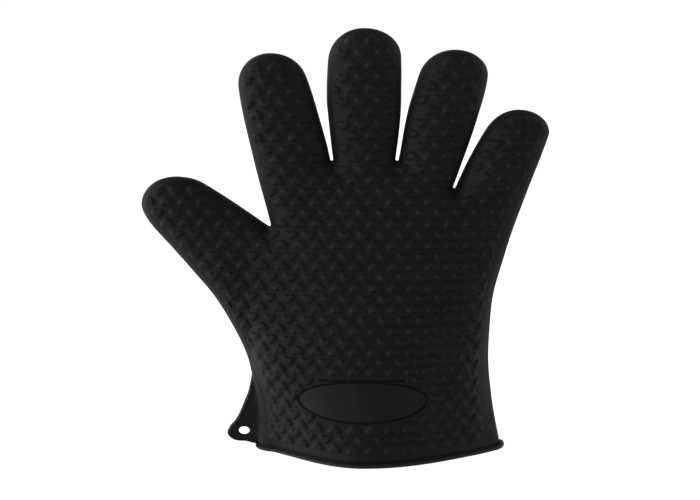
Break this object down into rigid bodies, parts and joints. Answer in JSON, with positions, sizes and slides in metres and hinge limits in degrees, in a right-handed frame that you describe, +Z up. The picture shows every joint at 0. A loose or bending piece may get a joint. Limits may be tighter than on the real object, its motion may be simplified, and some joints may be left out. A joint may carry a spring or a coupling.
{
  "type": "heat resistant glove",
  "caption": "Five-finger silicone cooking glove with heart-shaped grip nubs, flared cuff with beaded rim, smooth oval panel and a hanging tab; fingers, thumb and wrist bend",
  "frame": {"origin": "centre of the cuff rim's underside on the ground, below the middle of the glove's overall width", "axes": "+Z up along the fingers from the cuff rim, -Y the back of the hand with the oval panel, +Y the palm, -X the thumb side"},
  "size_m": [0.241, 0.0758, 0.254],
  "materials": {
    "silicone_textured": "satin black moulded silicone, covered with low heart-shaped nubs",
    "silicone_smooth": "satin black moulded silicone, smooth"
  },
  "bodies": {
    "cuff": {"cuff_shell": "silicone_textured", "cuff_rim": "silicone_smooth", "hang_tab": "silicone_smooth", "oval_panel": "silicone_smooth"},
    "palm": {"palm_shell": "silicone_textured"},
    "thumb_base": {"thumb_base": "silicone_textured"},
    "thumb_middle": {"thumb_middle": "silicone_textured"},
    "thumb_tip": {"thumb_tip": "silicone_textured"},
    "index_base": {"index_base": "silicone_textured"},
    "index_middle": {"index_middle": "silicone_textured"},
    "index_tip": {"index_tip": "silicone_textured"},
    "middle_base": {"middle_base": "silicone_textured"},
    "middle_middle": {"middle_middle": "silicone_textured"},
    "middle_tip": {"middle_tip": "silicone_textured"},
    "ring_base": {"ring_base": "silicone_textured"},
    "ring_middle": {"ring_middle": "silicone_textured"},
    "ring_tip": {"ring_tip": "silicone_textured"},
    "little_base": {"little_base": "silicone_textured"},
    "little_middle": {"little_middle": "silicone_textured"},
    "little_tip": {"little_tip": "silicone_textured"}
  },
  "joints": [
    {"name": "wrist_flex", "type": "hinge", "parent": "cuff", "child": "palm", "pos_m": [0.015, 0, 0.066], "axis": [-1, 0, 0], "range_deg": [-20, 20], "stiffness_Nm_per_rad": 1},
    {"name": "thumb_swing", "type": "hinge", "parent": "palm", "child": "thumb_base", "pos_m": [-0.0641, 0.003, 0.11825], "axis": [-0.4423, 0, -0.8969], "range_deg": [0, 40], "stiffness_Nm_per_rad": 0.25},
    {"name": "thumb_middle_bend", "type": "hinge", "parent": "thumb_base", "child": "thumb_middle", "pos_m": [-0.0802, 0.003, 0.132], "axis": [-0.6293, 0, -0.7771], "range_deg": [0, 40], "stiffness_Nm_per_rad": 0.15},
    {"name": "thumb_tip_bend", "type": "hinge", "parent": "thumb_middle", "child": "thumb_tip", "pos_m": [-0.09807, 0.003, 0.14647], "axis": [-0.6293, 0, -0.7771], "range_deg": [0, 45], "stiffness_Nm_per_rad": 0.12},
    {"name": "index_base_bend", "type": "hinge", "parent": "palm", "child": "index_base", "pos_m": [-0.031, 0.003, 0.1795], "axis": [-0.9728, 0, -0.2317], "range_deg": [-10, 50], "stiffness_Nm_per_rad": 0.15},
    {"name": "index_middle_bend", "type": "hinge", "parent": "index_base", "child": "index_middle", "pos_m": [-0.0361, 0.003, 0.2009], "axis": [-0.9728, 0, -0.2317], "range_deg": [0, 50], "stiffness_Nm_per_rad": 0.12},
    {"name": "index_tip_bend", "type": "hinge", "parent": "index_middle", "child": "index_tip", "pos_m": [-0.0405, 0.003, 0.21938], "axis": [-0.9728, 0, -0.2317], "range_deg": [0, 35], "stiffness_Nm_per_rad": 0.1},
    {"name": "middle_base_bend", "type": "hinge", "parent": "palm", "child": "middle_base", "pos_m": [0.0117, 0.003, 0.1845], "axis": [-1, 0, 0], "range_deg": [-10, 50], "stiffness_Nm_per_rad": 0.15},
    {"name": "middle_middle_bend", "type": "hinge", "parent": "middle_base", "child": "middle_middle", "pos_m": [0.0117, 0.003, 0.2095], "axis": [-1, 0, 0], "range_deg": [0, 50], "stiffness_Nm_per_rad": 0.12},
    {"name": "middle_tip_bend", "type": "hinge", "parent": "middle_middle", "child": "middle_tip", "pos_m": [0.0117, 0.003, 0.2315], "axis": [-1, 0, 0], "range_deg": [0, 35], "stiffness_Nm_per_rad": 0.1},
    {"name": "ring_base_bend", "type": "hinge", "parent": "palm", "child": "ring_base", "pos_m": [0.051, 0.003, 0.18], "axis": [-0.9681, 0, 0.2504], "range_deg": [-10, 50], "stiffness_Nm_per_rad": 0.15},
    {"name": "ring_middle_bend", "type": "hinge", "parent": "ring_base", "child": "ring_middle", "pos_m": [0.05676, 0.003, 0.20227], "axis": [-0.9681, 0, 0.2504], "range_deg": [0, 50], "stiffness_Nm_per_rad": 0.12},
    {"name": "ring_tip_bend", "type": "hinge", "parent": "ring_middle", "child": "ring_tip", "pos_m": [0.06177, 0.003, 0.22163], "axis": [-0.9681, 0, 0.2504], "range_deg": [0, 35], "stiffness_Nm_per_rad": 0.1},
    {"name": "little_base_bend", "type": "hinge", "parent": "palm", "child": "little_base", "pos_m": [0.0867, 0.003, 0.1596], "axis": [-0.9135, 0, 0.4067], "range_deg": [-10, 50], "stiffness_Nm_per_rad": 0.15},
    {"name": "little_middle_bend", "type": "hinge", "parent": "little_base", "child": "little_middle", "pos_m": [0.09443, 0.003, 0.17696], "axis": [-0.9135, 0, 0.4067], "range_deg": [0, 50], "stiffness_Nm_per_rad": 0.12},
    {"name": "little_tip_bend", "type": "hinge", "parent": "little_middle", "child": "little_tip", "pos_m": [0.10094, 0.003, 0.19157], "axis": [-0.9135, 0, 0.4067], "range_deg": [0, 35], "stiffness_Nm_per_rad": 0.1}
  ]
}
